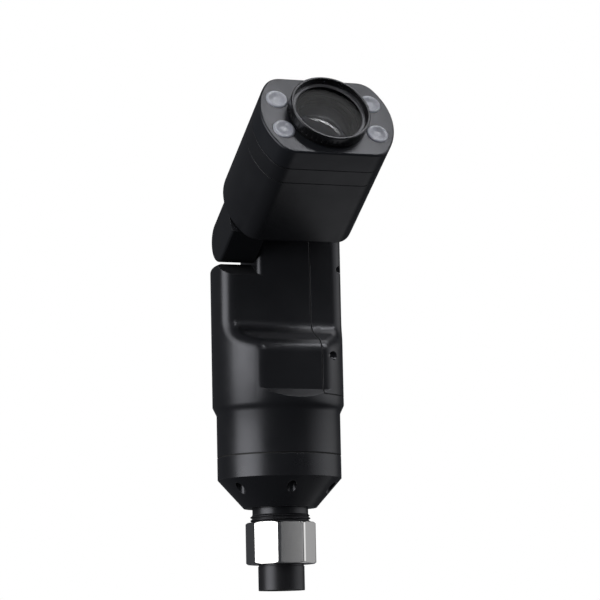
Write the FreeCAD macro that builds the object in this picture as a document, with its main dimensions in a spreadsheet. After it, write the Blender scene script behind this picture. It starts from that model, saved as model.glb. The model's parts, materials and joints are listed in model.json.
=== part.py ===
import FreeCAD, Part
import Sketcher
import math
import os
from FreeCAD import Placement, Rotation, Vector

# Tilting inspection camera on a pole coupling, in millimetres.
# +Z runs up the pole, the camera looks towards -Y, +X is the side cover's side.
# The origin is the centre of the pole tube's lower end.

doc = FreeCAD.newDocument("inspection_camera")

# ---------------------------------------------------------------- driving sizes
SIZES = {
    # pole tube and union nut
    "tube_radius": 14.0, "tube_bore": 12.0, "tube_groove_radius": 13.6,
    "groove_low": 14.5, "groove_high": 15.5, "tube_flange_low": 21.7,
    "tube_flange_top": 24.7, "tube_flange_radius": 17.9, "gasket_top": 26.2,
    "nut_low": 15.7, "nut_high": 40.8, "nut_corner_radius": 21.45,
    "nut_bore": 18.35, "nut_neck_bore": 14.3, "nut_shoulder": 19.5,
    "thrust_low": 19.6, "thrust_high": 21.6, "thrust_bore": 14.08, "thrust_radius": 18.25,
    # threaded stub
    "thread_radius": 18.25, "thread_root": 17.15, "thread_pitch": 2.0, "thread_end": 45.4,
    "stub_bore": 11.0, "stub_neck": 16.9, "stub_spigot": 13.0, "stub_top": 60.0,
    "lock_ring_radius": 18.5, "lock_ring_high": 57.5,
    "insert_low": 30.0, "insert_high": 48.0, "pin_radius": 0.75, "pin_circle": 6.5,
    "pin_low": 27.2, "pin_high": 54.0,
    # end cap
    "cap_low": 49.5, "cap_low_radius": 22.1, "cap_cone_top": 66.9, "cap_radius": 37.6,
    "cap_high": 80.1, "cap_floor": 53.5, "cap_cavity": 28.0, "spigot_radius": 30.0,
    "spigot_high": 86.0, "seam_high": 80.9, "seam_radius": 36.9,
    "cap_screw_circle": 32.0, "cap_screw_turn": -6.5, "cap_head_low": 65.0,
    "cap_head_high": 68.0, "cap_screw_high": 89.0,
    # screws: large in the cap and head, middling in the side cover, small in the gear plate
    "large_head": 2.75, "large_head_high": 3.0, "large_shank": 1.5, "large_socket": 1.45,
    "large_drill": 1.6, "large_sink": 2.9, "cover_head": 2.25, "cover_head_high": 2.5,
    "cover_shank": 1.25, "cover_socket": 1.15, "cover_drill": 1.35, "cover_sink": 2.6,
    "cover_boss": 3.6, "cover_screw_length": 15.0, "plate_head": 1.9, "plate_head_high": 2.0,
    "plate_shank": 1.0, "plate_socket": 0.9, "plate_drill": 1.15, "plate_screw_length": 10.0,
    # housing
    "flare_low": 106.0, "flare_high": 111.0, "body_radius": 40.0, "shoulder_z": 197.4,
    "shoulder_round": 4.0, "front_flat": 34.0, "front_low": 118.5, "front_out": 112.6,
    "ledge_low": 147.3, "ledge_high": 156.1, "slab_front": 15.3, "ledge_round": 10.5,
    "edge_round": 9.0, "knuckle_round": 4.0, "wall": 3.6, "slab_wall": 2.3, "cavity_top": 193.4,
    "part_plane": 16.4, "part_low": 115.5, "part_gap": 0.6, "cover_head_low": 19.5,
    # hinge
    "hinge_y": -7.2, "hinge_z": 211.0, "knuckle_radius": 24.3, "knuckle_left": -16.8,
    "knuckle_wall": 2.8, "knuckle_side": 8.8, "slope_clear": 0.4,
    "slope_angle": 34.0, "shaft_radius": 3.0, "shaft_bore": 1.8, "shaft_left": -36.0,
    "shaft_right": 25.5, "bush_radius": 5.0, "bush_bore": 3.06, "seal_radius": 5.5,
    "arm_left": -39.4, "arm_right": -17.3, "arm_radius": 12.9, "arm_edge": 1.6,
    "rest_tilt": 60.0,
    # drive
    "gear_module": 0.4, "tilt_teeth": 24, "idler_teeth": 40, "pinion_teeth": 20,
    "gear_low": 17.6, "gear_width": 6.0, "idler_y": 3.0, "plate_low": 11.0, "plate_high": 15.0,
    "motor_radius": 11.0, "motor_left": -30.0, "gearbox_left": -8.0, "gearbox_radius": 10.6,
    "output_radius": 1.5, "idler_pin_radius": 2.0, "running_gap": 0.06, "nose_radius": 4.0,
    "plate_front": 12.4,
    # electronics
    "carrier_low": 96.0, "carrier_thick": 3.0, "board_front": 6.0, "board_back": 7.6,
    "board_half_width": 21.0, "board_top": 148.0,
    # head, in its own frame: origin on the hinge, +Z towards the lens
    "head_rear": 25.3, "head_seam_rear": 79.6, "head_seam_front": 92.0, "head_face": 106.9,
    "head_centre": 8.4, "head_half_width": 41.3, "head_half_height": 28.6,
    "head_side_radius": 40.0, "head_corner": 12.3, "head_wall": 3.0, "seam_gap": 0.5,
    "seam_inset": 0.7, "face_edge": 1.2, "rear_edge": 2.0,
    "led_x": 29.0, "led_y": 11.5, "led_radius": 6.75, "bezel_bore": 23.9,
    "filter_radius": 24.2, "filter_out": 8.0, "filter_mouth": 22.6, "filter_bore": 22.2,
    "filter_seat": 20.2, "filter_thread": 22.44, "filter_glass_low": 1.2,
    "filter_glass_high": 3.0, "filter_mouth_low": 4.0,
    "barrel_radius": 23.5, "barrel_thread": 22.5, "barrel_bore": 20.0, "barrel_wall": 2.0,
    "barrel_low": 62.5, "barrel_step": 94.0, "slide_gap": 0.08, "group_bore": 13.0,
    "focus_low": 66.0, "focus_high": 72.0, "zoom_low": 80.0, "zoom_high": 88.0,
    "cell_low": 95.5, "cell_high": 101.5, "lens_radius": 17.0, "lens_low": 96.0,
    "lens_rim": 98.0, "lens_bulge": 4.8, "block_low": 38.0, "block_half_width": 24.0,
    "block_half_height": 19.0, "window_low": 56.5, "window_radius": 16.0,
    "sensor_high": 58.0, "sensor_board_low": 34.2, "sensor_board_high": 35.8,
    "spacer_radius": 2.2, "head_boss": 3.4, "head_screw_length": 75.0,
    "arm_screw_length": 13.0, "rear_wall": 5.0, "led_board_gap": 1.5, "led_board_thick": 1.6,
}

# Reach of the cutting tools: outside the housing in every direction, and above everything.
FAR = 60.0
TOP = 260.0

sheet = doc.addObject("Spreadsheet::Sheet", "Sizes")
for row, (alias, number) in enumerate(SIZES.items(), start=1):
    sheet.set("A%d" % row, alias)
    sheet.set("B%d" % row, repr(number))
    sheet.setAlias("B%d" % row, alias)
doc.recompute()


class Size:
    """A number together with the spreadsheet expression that gives it."""

    def __init__(self, number, text):
        self.number = float(number)
        self.text = text

    def combine(self, other, sign, number):
        return Size(number, "(%s %s %s)" % (self.text, sign, as_size(other).text))

    def __add__(self, other):
        return self.combine(other, "+", self.number + as_size(other).number)

    def __sub__(self, other):
        return self.combine(other, "-", self.number - as_size(other).number)

    def __mul__(self, other):
        return self.combine(other, "*", self.number * as_size(other).number)

    def __truediv__(self, other):
        return self.combine(other, "/", self.number / as_size(other).number)

    def __rsub__(self, other):
        return as_size(other) - self

    def __neg__(self):
        return Size(-self.number, "(0 - %s)" % self.text)

    __radd__ = __add__
    __rmul__ = __mul__


def as_size(value):
    if isinstance(value, Size):
        return value
    return Size(value, repr(float(value)))


class Sheet:
    """Gives each aliased cell as a Size: sizes.tube_radius."""

    def __getattr__(self, alias):
        return Size(sheet.get(alias), "Sizes." + alias)


sizes = Sheet()
nodes = []


# ---------------------------------------------------------------- building tools
def num(value):
    return as_size(value).number


def bind(obj, prop, value):
    value = as_size(value)
    setattr(obj, prop, value.number)
    if "Sizes." in value.text:
        obj.setExpression(prop, value.text)


def node(label, obj, placement=None):
    """Names a finished piece and puts it in place; its label names its file."""
    if placement is not None:
        tied = any(path.startswith(".Placement") or path.startswith("Placement")
                   for path, text in obj.ExpressionEngine)
        if tied:
            obj = group(label + "_set", [obj])
        obj.Placement = placement.multiply(obj.Placement)
    obj.Label = label
    nodes.append(obj)
    return obj


def origin_plane(body, role):
    for feature in body.Origin.OriginFeatures:
        if feature.Role == role:
            return feature
    raise ValueError(role)


def fix_coordinate(sketch, direction, geometry, point, value, name):
    """Ties one coordinate of a sketch point to a size."""
    value = as_size(value)
    axis = -2 if direction == "DistanceX" else -1
    if abs(value.number) < 1e-9:
        sketch.addConstraint(Sketcher.Constraint("PointOnObject", geometry, point, axis))
        return
    ends = (-1, 1, geometry, point)
    if value.number < 0:
        value = -value
        ends = (geometry, point, -1, 1)
    index = sketch.addConstraint(Sketcher.Constraint(direction, *ends, value.number))
    sketch.renameConstraint(index, name)
    if "Sizes." in value.text:
        sketch.setExpression("Constraints." + name, value.text)


def draw_outline(sketch, points):
    """A closed outline of straight lines through (x, y) points."""
    first = sketch.GeometryCount
    count = len(points)
    corners = [Vector(num(x), num(y), 0) for x, y in points]
    for index in range(count):
        sketch.addGeometry(Part.LineSegment(corners[index], corners[(index + 1) % count]), False)
    for index in range(count):
        here = first + index
        after = first + (index + 1) % count
        sketch.addConstraint(Sketcher.Constraint("Coincident", here, 2, after, 1))
    for index, (x, y) in enumerate(points):
        fix_coordinate(sketch, "DistanceX", first + index, 1, x, "p%dx" % index)
        fix_coordinate(sketch, "DistanceY", first + index, 1, y, "p%dy" % index)


def draw_circle(sketch, x, y, radius, tag):
    index = sketch.addGeometry(Part.Circle(Vector(num(x), num(y), 0), Vector(0, 0, 1), num(radius)))
    fix_coordinate(sketch, "DistanceX", index, 3, x, tag + "x")
    fix_coordinate(sketch, "DistanceY", index, 3, y, tag + "y")
    constraint = sketch.addConstraint(Sketcher.Constraint("Radius", index, num(radius)))
    sketch.renameConstraint(constraint, tag + "r")
    if "Sizes." in as_size(radius).text:
        sketch.setExpression("Constraints." + tag + "r", as_size(radius).text)


def body_with_sketch(name, role):
    body = doc.addObject("PartDesign::Body", name)
    sketch = body.newObject("Sketcher::SketchObject", name + "_sketch")
    sketch.AttachmentSupport = [(origin_plane(body, role), "")]
    sketch.MapMode = "FlatFace"
    return body, sketch


def revolved(name, points):
    """A body turned about Z from an (r, z) outline."""
    body, sketch = body_with_sketch(name, "XZ_Plane")
    draw_outline(sketch, points)
    turn = body.newObject("PartDesign::Revolution", name + "_turn")
    turn.Profile = sketch
    turn.ReferenceAxis = (sketch, ["V_Axis"])
    turn.Angle = 360.0
    return body


def padded(name, height, outline=None, circles=()):
    """A body padded along its plane's normal from an outline, with round holes or discs."""
    body, sketch = body_with_sketch(name, "XY_Plane")
    if outline:
        draw_outline(sketch, outline)
    for index, (x, y, radius) in enumerate(circles):
        draw_circle(sketch, x, y, radius, "c%dq" % index)
    pad = body.newObject("PartDesign::Pad", name + "_pad")
    pad.Profile = sketch
    bind(pad, "Length", height)
    return body


def at(obj, x=0, y=0, z=0, rotation=None):
    """Places an object, with each coordinate tied to the sheet."""
    if rotation is not None:
        obj.Placement = Placement(Vector(0, 0, 0), rotation)
    for axis, value in (("x", x), ("y", y), ("z", z)):
        value = as_size(value)
        base = obj.Placement.Base
        setattr(base, axis, value.number)
        obj.Placement = Placement(base, obj.Placement.Rotation)
        if "Sizes." in value.text:
            obj.setExpression("Placement.Base." + axis, value.text)
    return obj


def box(name, low, high):
    solid = doc.addObject("Part::Box", name)
    for prop, start, end in zip(("Length", "Width", "Height"), low, high):
        bind(solid, prop, as_size(end) - start)
    return at(solid, *low)


ALONG_X = Rotation(Vector(0, 1, 0), 90)
ALONG_MINUS_X = Rotation(Vector(0, 1, 0), -90)
YZ_SKETCH = Rotation(Vector(1, 1, 1), 120)


def cylinder(name, radius, height, x=0, y=0, z=0, rotation=None):
    solid = doc.addObject("Part::Cylinder", name)
    bind(solid, "Radius", radius)
    bind(solid, "Height", height)
    return at(solid, x, y, z, rotation)


def fused(name, pieces):
    if len(pieces) == 1:
        return pieces[0]
    solid = doc.addObject("Part::MultiFuse", name)
    solid.Shapes = pieces
    return solid


def cut(name, base, tools):
    solid = doc.addObject("Part::Cut", name)
    solid.Base = base
    solid.Tool = fused(name + "_tools", tools)
    return solid


def common(name, pieces):
    solid = doc.addObject("Part::MultiCommon", name)
    solid.Shapes = pieces
    return solid


def group(name, pieces):
    """Several separate solids kept as one node."""
    solid = doc.addObject("Part::Compound", name)
    solid.Links = pieces
    return solid


def rounded(name, base, radius, wanted):
    """Rounds the edges of base for which wanted(edge) is true."""
    doc.recompute()
    picks = [index for index, edge in enumerate(base.Shape.Edges, start=1) if wanted(edge)]
    solid = doc.addObject("Part::Fillet", name)
    solid.Base = base
    solid.Edges = [(index, num(radius), num(radius)) for index in picks]
    return solid


def is_along(edge, axis):
    """True for a straight edge along the given unit axis."""
    if edge.Curve.TypeId != "Part::GeomLine":
        return False
    return abs(abs(edge.tangentAt(edge.FirstParameter).dot(axis)) - 1) < 1e-6


X_AXIS = Vector(1, 0, 0)
Z_AXIS = Vector(0, 0, 1)


def cap_screw(name, head_radius, head_height, radius, length, socket):
    """Socket cap screw, its head's top at z = 0 and its shank towards +Z."""
    turned = revolved(name + "_turned", [
        (0, 0), (head_radius - 0.3, 0), (head_radius, 0.3),
        (head_radius, head_height), (radius, head_height),
        (radius, as_size(length) - 0.4), (radius - 0.4, length), (0, length)])
    key = doc.addObject("Part::Prism", name + "_key")
    key.Polygon = 6
    bind(key, "Circumradius", socket)
    bind(key, "Height", head_height * 0.6)
    return cut(name, turned, [key])


def large_screw(name, length):
    s = sizes
    return cap_screw(name, s.large_head, s.large_head_high, s.large_shank, length, s.large_socket)


def screw_set(name, screw, places):
    """Copies of one screw at (position, rotation) places, as one node."""
    copies = []
    for index, (x, y, z, rotation) in enumerate(places):
        link = doc.addObject("App::Link", "%s_%d" % (name, index))
        link.LinkedObject = screw
        link.LinkTransform = False
        link.Placement = Placement(Vector(num(x), num(y), num(z)), rotation)
        copies.append(link)
    return group(name, copies)


# ---------------------------------------------------------------- coupling pieces
def make_pole_tube():
    s = sizes
    tube = revolved("tube_body", [
        (s.tube_bore, 0), (s.tube_radius, 0), (s.tube_radius, s.groove_low),
        (s.tube_groove_radius, s.groove_low), (s.tube_groove_radius, s.groove_high),
        (s.tube_radius, s.groove_high), (s.tube_radius, s.tube_flange_low),
        (s.tube_flange_radius, s.tube_flange_low), (s.tube_flange_radius, s.tube_flange_top),
        (s.tube_bore, s.tube_flange_top)])
    node("pole_tube", tube)


def make_pole_gasket():
    s = sizes
    ring = revolved("gasket_body", [
        (s.tube_bore, s.tube_flange_top), (s.tube_flange_radius, s.tube_flange_top),
        (s.tube_flange_radius, s.gasket_top), (s.tube_bore, s.gasket_top)])
    node("pole_gasket", ring)


def make_thrust_ring():
    s = sizes
    ring = revolved("thrust_body", [
        (s.thrust_bore, s.thrust_low), (s.thrust_radius, s.thrust_low),
        (s.thrust_radius, s.thrust_high), (s.thrust_bore, s.thrust_high)])
    node("nut_thrust_ring", ring)


def make_union_nut():
    """Octagonal nut: its flats face X and Y, its ends are bevelled at the corners."""
    s = sizes
    prism = doc.addObject("Part::Prism", "nut_prism")
    prism.Polygon = 8
    bind(prism, "Circumradius", s.nut_corner_radius)
    bind(prism, "Height", s.nut_high - s.nut_low)
    at(prism, 0, 0, s.nut_low, Rotation(Z_AXIS, 22.5))
    corner_out = s.nut_corner_radius - 0.25
    corner_in = s.nut_corner_radius - 1.3
    turned = revolved("nut_turned", [
        (s.nut_neck_bore, s.nut_low), (corner_in, s.nut_low), (corner_out, s.nut_low + 0.8),
        (corner_out, s.nut_high - 0.8), (corner_in, s.nut_high), (s.nut_bore + 0.5, s.nut_high),
        (s.nut_bore, s.nut_high - 0.5), (s.nut_bore, s.nut_shoulder),
        (s.nut_neck_bore, s.nut_shoulder)])
    node("union_nut", common("nut_solid", [prism, turned]))


def make_threaded_stub():
    """Threaded stub with ring-shaped crests at the thread's pitch."""
    s = sizes
    points = [(s.stub_bore, s.gasket_top), (s.thread_root, s.gasket_top)]
    turns = int((num(s.thread_end) - num(s.gasket_top) - 0.6) // num(s.thread_pitch))
    for turn in range(turns):
        foot = s.gasket_top + 0.6 + s.thread_pitch * turn
        points.append((s.thread_root, foot))
        points.append((s.thread_radius, foot + 0.7))
        points.append((s.thread_radius, foot + 1.0))
        points.append((s.thread_root, foot + 1.7))
    points += [
        (s.thread_root, s.thread_end), (s.stub_neck, s.thread_end), (s.stub_neck, s.cap_low),
        (s.stub_spigot, s.cap_low), (s.stub_spigot, s.stub_top), (s.stub_bore, s.stub_top)]
    node("threaded_stub", revolved("stub_body", points))


def make_lock_ring():
    s = sizes
    height = s.lock_ring_high - s.cap_floor
    ring = padded("lock_ring_body", height, circles=[
        (0, 0, s.lock_ring_radius), (0, 0, s.stub_spigot)])
    at(ring, 0, 0, s.cap_floor)
    notches = []
    for index in range(4):
        notch = doc.addObject("Part::Box", "lock_notch_%d" % index)
        notch.Length = 4.0
        notch.Width = 4.0
        bind(notch, "Height", height)
        turn = Rotation(Z_AXIS, 90.0 * index)
        corner = turn.multVec(Vector(num(s.lock_ring_radius) - 2.5, -2.0, 0))
        notch.Placement = Placement(corner + Vector(0, 0, num(s.cap_floor) + 1.5), turn)
        notches.append(notch)
    node("stub_lock_ring", cut("lock_ring_solid", ring, notches))


def pin_places():
    """Centres of the contact pins: one in the middle, eight on a circle."""
    places = [(as_size(0), as_size(0))]
    for index in range(8):
        angle = math.radians(45.0 * index)
        places.append((sizes.pin_circle * math.cos(angle), sizes.pin_circle * math.sin(angle)))
    return places


def make_connector():
    s = sizes
    holes = [(x, y, s.pin_radius) for x, y in pin_places()]
    insert = padded("insert_body", s.insert_high - s.insert_low,
                    circles=[(0, 0, s.stub_bore)] + holes)
    node("connector_insert", at(insert, 0, 0, s.insert_low))
    pins = [cylinder("contact_%d" % index, s.pin_radius, s.pin_high - s.pin_low, x, y, s.pin_low)
            for index, (x, y) in enumerate(pin_places())]
    node("contact_pins", group("contact_group", pins))


# ---------------------------------------------------------------- end cap
def cap_screw_places():
    places = []
    for index in range(6):
        angle = math.radians(-90.0 + SIZES["cap_screw_turn"] + 60.0 * index)
        places.append((sizes.cap_screw_circle * math.cos(angle),
                       sizes.cap_screw_circle * math.sin(angle)))
    return places


def cap_holes(name, radius, low, high):
    return [cylinder("%s_%d" % (name, index), radius, as_size(high) - low, x, y, low)
            for index, (x, y) in enumerate(cap_screw_places())]


def make_end_cap():
    s = sizes
    shell = revolved("cap_body", [
        (s.stub_spigot, s.cap_low), (s.cap_low_radius, s.cap_low),
        (s.cap_radius, s.cap_cone_top), (s.cap_radius, s.cap_high),
        (s.spigot_radius, s.cap_high), (s.spigot_radius, s.spigot_high),
        (s.cap_cavity, s.spigot_high), (s.cap_cavity, s.cap_floor + 8.5),
        (s.lock_ring_radius + 1.5, s.cap_floor), (s.stub_spigot, s.cap_floor)])
    sinks = cap_holes("cap_sink", s.large_sink, s.cap_low, s.cap_head_high)
    drills = cap_holes("cap_drill", s.large_drill, s.cap_head_low, s.cap_high + 1)
    node("end_cap", cut("cap_solid", shell, sinks + drills))


def make_cap_gasket():
    s = sizes
    ring = revolved("seam_body", [
        (s.spigot_radius, s.cap_high), (s.seam_radius, s.cap_high),
        (s.seam_radius, s.seam_high), (s.spigot_radius, s.seam_high)])
    holes = cap_holes("seam_hole", s.large_drill, s.cap_low, s.spigot_high)
    node("cap_gasket", cut("seam_solid", ring, holes))


def make_cap_screws():
    s = sizes
    length = s.cap_screw_high - s.cap_head_low
    screw = large_screw("cap_screw", length)
    places = [(x, y, s.cap_head_low, Rotation()) for x, y in cap_screw_places()]
    node("end_cap_screws", screw_set("cap_screw_set", screw, places))


# ---------------------------------------------------------------- housing
def yz_pad(name, outline, low_x, high_x):
    """A prism along X from an outline of (y, z) points."""
    prism = padded(name, as_size(high_x) - low_x, outline)
    return at(prism, low_x, 0, 0, YZ_SKETCH)


def front_tool(name, inset_flat=0, inset_slab=0):
    """What is cut away in front: lower flat, rounded ledge and slab, each set back by an inset."""
    s = sizes
    flat = -s.front_flat + inset_flat
    slab = -s.slab_front + inset_slab
    drop = inset_flat * 0.4
    low = (flat, s.ledge_low - drop)
    high = (slab, s.ledge_high - drop)
    prism = yz_pad(name + "_prism", [
        (-FAR, s.flare_low), (flat, s.flare_low), low, high, (slab, TOP), (-FAR, TOP)], -FAR, FAR)

    def is_ledge_corner(edge):
        """True for the two edges along X where the ledge meets the flat and the slab."""
        if not is_along(edge, X_AXIS):
            return False
        place = edge.Vertexes[0].Point
        return any(math.hypot(place.y - num(y), place.z - num(z)) < 0.1 for y, z in (low, high))

    return rounded(name, prism, s.ledge_round, is_ledge_corner)


def front_foot(name, inset=0):
    """What stays below the bevel at the foot of the lower flat, set back by an inset."""
    s = sizes
    rise = (s.front_low - s.front_out) / (s.body_radius + 1 - s.front_flat)
    near = -(s.body_radius + 5) + inset
    far = -20 + inset
    return yz_pad(name, [
        (near, s.front_out - 4 * rise), (far, s.front_out + 21 * rise), (far, s.flare_high),
        (FAR, s.flare_high), (FAR, s.seam_high - 2), (near, s.seam_high - 2)], -FAR, FAR)


def slope_line(distance):
    """Points, as (y, z), of the sloping stop face at a distance from the hinge."""
    s = sizes
    angle = math.radians(SIZES["slope_angle"])
    foot_y = s.hinge_y + distance * math.sin(angle)
    foot_z = s.hinge_z - distance * math.cos(angle)
    return [
        (foot_y - FAR * math.cos(angle), foot_z - FAR * math.sin(angle)),
        (foot_y + FAR * math.cos(angle), foot_z + FAR * math.sin(angle)),
        (foot_y + FAR * math.cos(angle), TOP),
        (foot_y - FAR * math.cos(angle), TOP)]


def make_envelope():
    """The outside of the housing and its side cover as one solid."""
    s = sizes
    turned = revolved("envelope_turned", [
        (0, s.seam_high), (s.cap_radius, s.seam_high), (s.cap_radius, s.flare_low),
        (s.body_radius, s.flare_high), (s.body_radius, s.shoulder_z), (0, s.shoulder_z)])
    shoulder = rounded("envelope_shoulder", turned, s.shoulder_round, is_shoulder_edge)
    post = cylinder("envelope_post", s.body_radius, 150, 0, 0, s.flare_high - 1)
    column = cut("envelope_column", post, [front_tool("envelope_front")])
    edges = rounded("envelope_edges", column, s.edge_round, is_front_edge)
    outline = fused("envelope_outline", [edges, front_foot("envelope_foot")])
    blank = common("envelope_blank", [shoulder, outline])
    slope = yz_pad("envelope_slope", slope_line(s.arm_radius + s.slope_clear), -FAR,
                   s.knuckle_left + s.knuckle_round + 1)
    knuckle = make_knuckle_column()
    stop = cut("envelope_stop", blank, [cut("envelope_slope_tool", slope, [knuckle])])
    return fused("envelope", [stop, make_knuckle_blank(knuckle)])


def is_shoulder_edge(edge):
    """The round outer edge of the shoulder's flat top."""
    if edge.Curve.TypeId != "Part::GeomCircle":
        return False
    same_height = abs(edge.BoundBox.ZMin - SIZES["shoulder_z"]) < 0.01
    return same_height and abs(edge.Curve.Radius - SIZES["body_radius"]) < 0.01


def is_front_edge(edge):
    """The rising edges between the front and the round body."""
    box_of = edge.BoundBox
    if box_of.ZMax - box_of.ZMin < 1:
        return False
    middle = edge.valueAt((edge.FirstParameter + edge.LastParameter) / 2)
    on_round = abs(math.hypot(middle.x, middle.y) - SIZES["body_radius"]) < 0.05
    return on_round and middle.y < -1 and abs(middle.x) < SIZES["body_radius"] - 0.5


def make_knuckle_column():
    """Upright block from the slab up, its front edges rounded; the hinge stands in it."""
    s = sizes
    back = s.hinge_y + s.knuckle_radius
    slab = yz_pad("knuckle_slab", [
        (-s.slab_front, s.ledge_high + 8), (back, s.ledge_high + 8), (back, TOP),
        (-s.slab_front, TOP)], s.knuckle_left, FAR)
    post = cylinder("knuckle_post", s.body_radius, 120, 0, 0, s.ledge_high)
    column = common("knuckle_column", [slab, post])
    left = rounded("knuckle_left_edge", column, s.knuckle_round,
                   lambda edge: is_knuckle_edge(edge) and edge.BoundBox.XMax < 0)
    return rounded("knuckle_right_edge", left, s.edge_round,
                   lambda edge: is_knuckle_edge(edge) and edge.BoundBox.XMin > 30)


def make_knuckle_blank(column):
    """The part that stands above the shoulder and carries the hinge."""
    s = sizes
    dome = cylinder("knuckle_dome", s.knuckle_radius, 80, s.knuckle_left - 5, s.hinge_y,
                    s.hinge_z, ALONG_X)
    below = box("knuckle_below", (s.knuckle_left - 5, -FAR, s.ledge_high), (FAR, FAR, s.hinge_z))
    top = fused("knuckle_top", [dome, below])
    return common("knuckle_blank", [column, top])


def is_knuckle_edge(edge):
    """The upright front edges of the knuckle, left and right."""
    if not is_along(edge, Z_AXIS):
        return False
    place = edge.Vertexes[0].Point
    return abs(place.y + SIZES["slab_front"]) < 0.01


def make_cavity():
    """The hollow inside the housing and its cover."""
    s = sizes
    narrow = s.cap_radius - s.wall - 0.4
    wide = s.body_radius - s.wall
    turned = revolved("cavity_turned", [
        (0, s.seam_high - 1), (s.spigot_radius, s.seam_high - 1), (s.spigot_radius, 92),
        (narrow, 95.6), (narrow, s.flare_low + 1), (wide, s.flare_high + 1),
        (wide, s.cavity_top), (0, s.cavity_top)])
    front = front_tool("cavity_front", s.wall, s.slab_wall)
    foot = front_foot("cavity_foot", s.wall)
    slope = yz_pad("cavity_slope", slope_line(s.arm_radius + s.slope_clear + s.wall), -FAR,
                   s.knuckle_left + 1)
    lower = cut("cavity_lower", turned, [cut("cavity_front_tool", front, [foot]), slope])
    slab = yz_pad("cavity_slab", [
        (-s.slab_front + s.slab_wall, s.cavity_top - 12),
        (s.hinge_y + s.knuckle_radius - s.knuckle_wall, s.cavity_top - 12),
        (s.hinge_y + s.knuckle_radius - s.knuckle_wall, TOP),
        (-s.slab_front + s.slab_wall, TOP)], s.knuckle_left + s.knuckle_side, FAR)
    dome = cylinder("cavity_dome", s.knuckle_radius - s.knuckle_wall, 80, s.knuckle_left,
                    s.hinge_y, s.hinge_z, ALONG_X)
    below = box("cavity_below", (s.knuckle_left, -FAR, s.cavity_top - 13), (FAR, FAR, s.hinge_z))
    top = fused("cavity_top_round", [dome, below])
    post = cylinder("cavity_post", wide, 120, 0, 0, s.cavity_top - 13)
    upper = common("cavity_upper", [slab, top, post])
    return fused("cavity", [lower, upper])


def cover_screw_places():
    """(y, z) of the screws that hold the side cover."""
    return [(-31.0, 139.4), (-11.9, 194.5), (31.0, 139.4), (30.5, 190.5)]


def along_x(name, radius, low, high, places):
    return [cylinder("%s_%d" % (name, index), radius, as_size(high) - low, low, y, z, ALONG_X)
            for index, (y, z) in enumerate(places)]


def plate_screw_places():
    """(y, z) of the screws that hold the gear plate."""
    return [(19.0, 164.0), (19.0, 179.0), (-9.0, 158.5)]


def make_housing(envelope, cavity):
    s = sizes
    left = box("housing_left", (-FAR, -FAR, s.seam_high - 1), (s.part_plane, FAR, TOP))
    foot = box("housing_foot", (-FAR, -FAR, s.seam_high - 1), (FAR, FAR, s.part_low))
    region = fused("housing_region", [left, foot])
    shell = cut("housing_shell", envelope, [cavity])
    half = common("housing_half", [shell, region])
    cover_bosses = along_x("housing_boss", s.cover_boss, 4, s.part_plane, cover_screw_places())
    ribs = [
        box("plate_rib_0", (5, 15, 160), (s.plate_low, 38, 168)),
        box("plate_rib_1", (5, 15, 175), (s.plate_low, 38, 183)),
        box("plate_rib_2", (5, -19, 154.5), (s.plate_low, -6, 162.5))]
    inside = common("housing_inside", [fused("housing_bosses", cover_bosses + ribs), envelope])
    solid = fused("housing_solid", [half, inside])
    drills = cap_holes("housing_tap", s.large_shank, s.seam_high - 1, s.cap_screw_high + 1)
    drills += along_x("cover_tap", s.cover_shank, 5.5, s.part_plane + 1, cover_screw_places())
    drills += along_x("plate_tap", s.plate_shank, 6, s.plate_low + 1, plate_screw_places())
    drills.append(cylinder("housing_seal_bore", s.seal_radius, 2.0, s.knuckle_left - 0.1,
                           s.hinge_y, s.hinge_z, ALONG_X))
    drills.append(cylinder("housing_bush_bore", s.bush_radius, 12, s.knuckle_left - 0.1,
                           s.hinge_y, s.hinge_z, ALONG_X))
    node("main_housing", cut("housing_drilled", solid, drills))


def make_side_cover(envelope, cavity):
    s = sizes
    region = box("cover_region", (s.part_plane + s.part_gap, -FAR, s.part_low + s.part_gap),
                 (FAR, FAR, TOP))
    shell = cut("cover_shell", envelope, [cavity])
    half = common("cover_half", [shell, region])
    bosses = along_x("cover_boss", s.cover_boss, s.part_plane + s.part_gap, FAR, cover_screw_places())
    inside = common("cover_inside", [fused("cover_bosses", bosses), envelope, region])
    solid = fused("cover_solid", [half, inside])
    drills = along_x("cover_drill", s.cover_drill, s.part_plane, FAR, cover_screw_places())
    drills += along_x("cover_sink", s.cover_sink, s.cover_head_low, FAR, cover_screw_places())
    node("side_cover", cut("cover_drilled", solid, drills))


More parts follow.
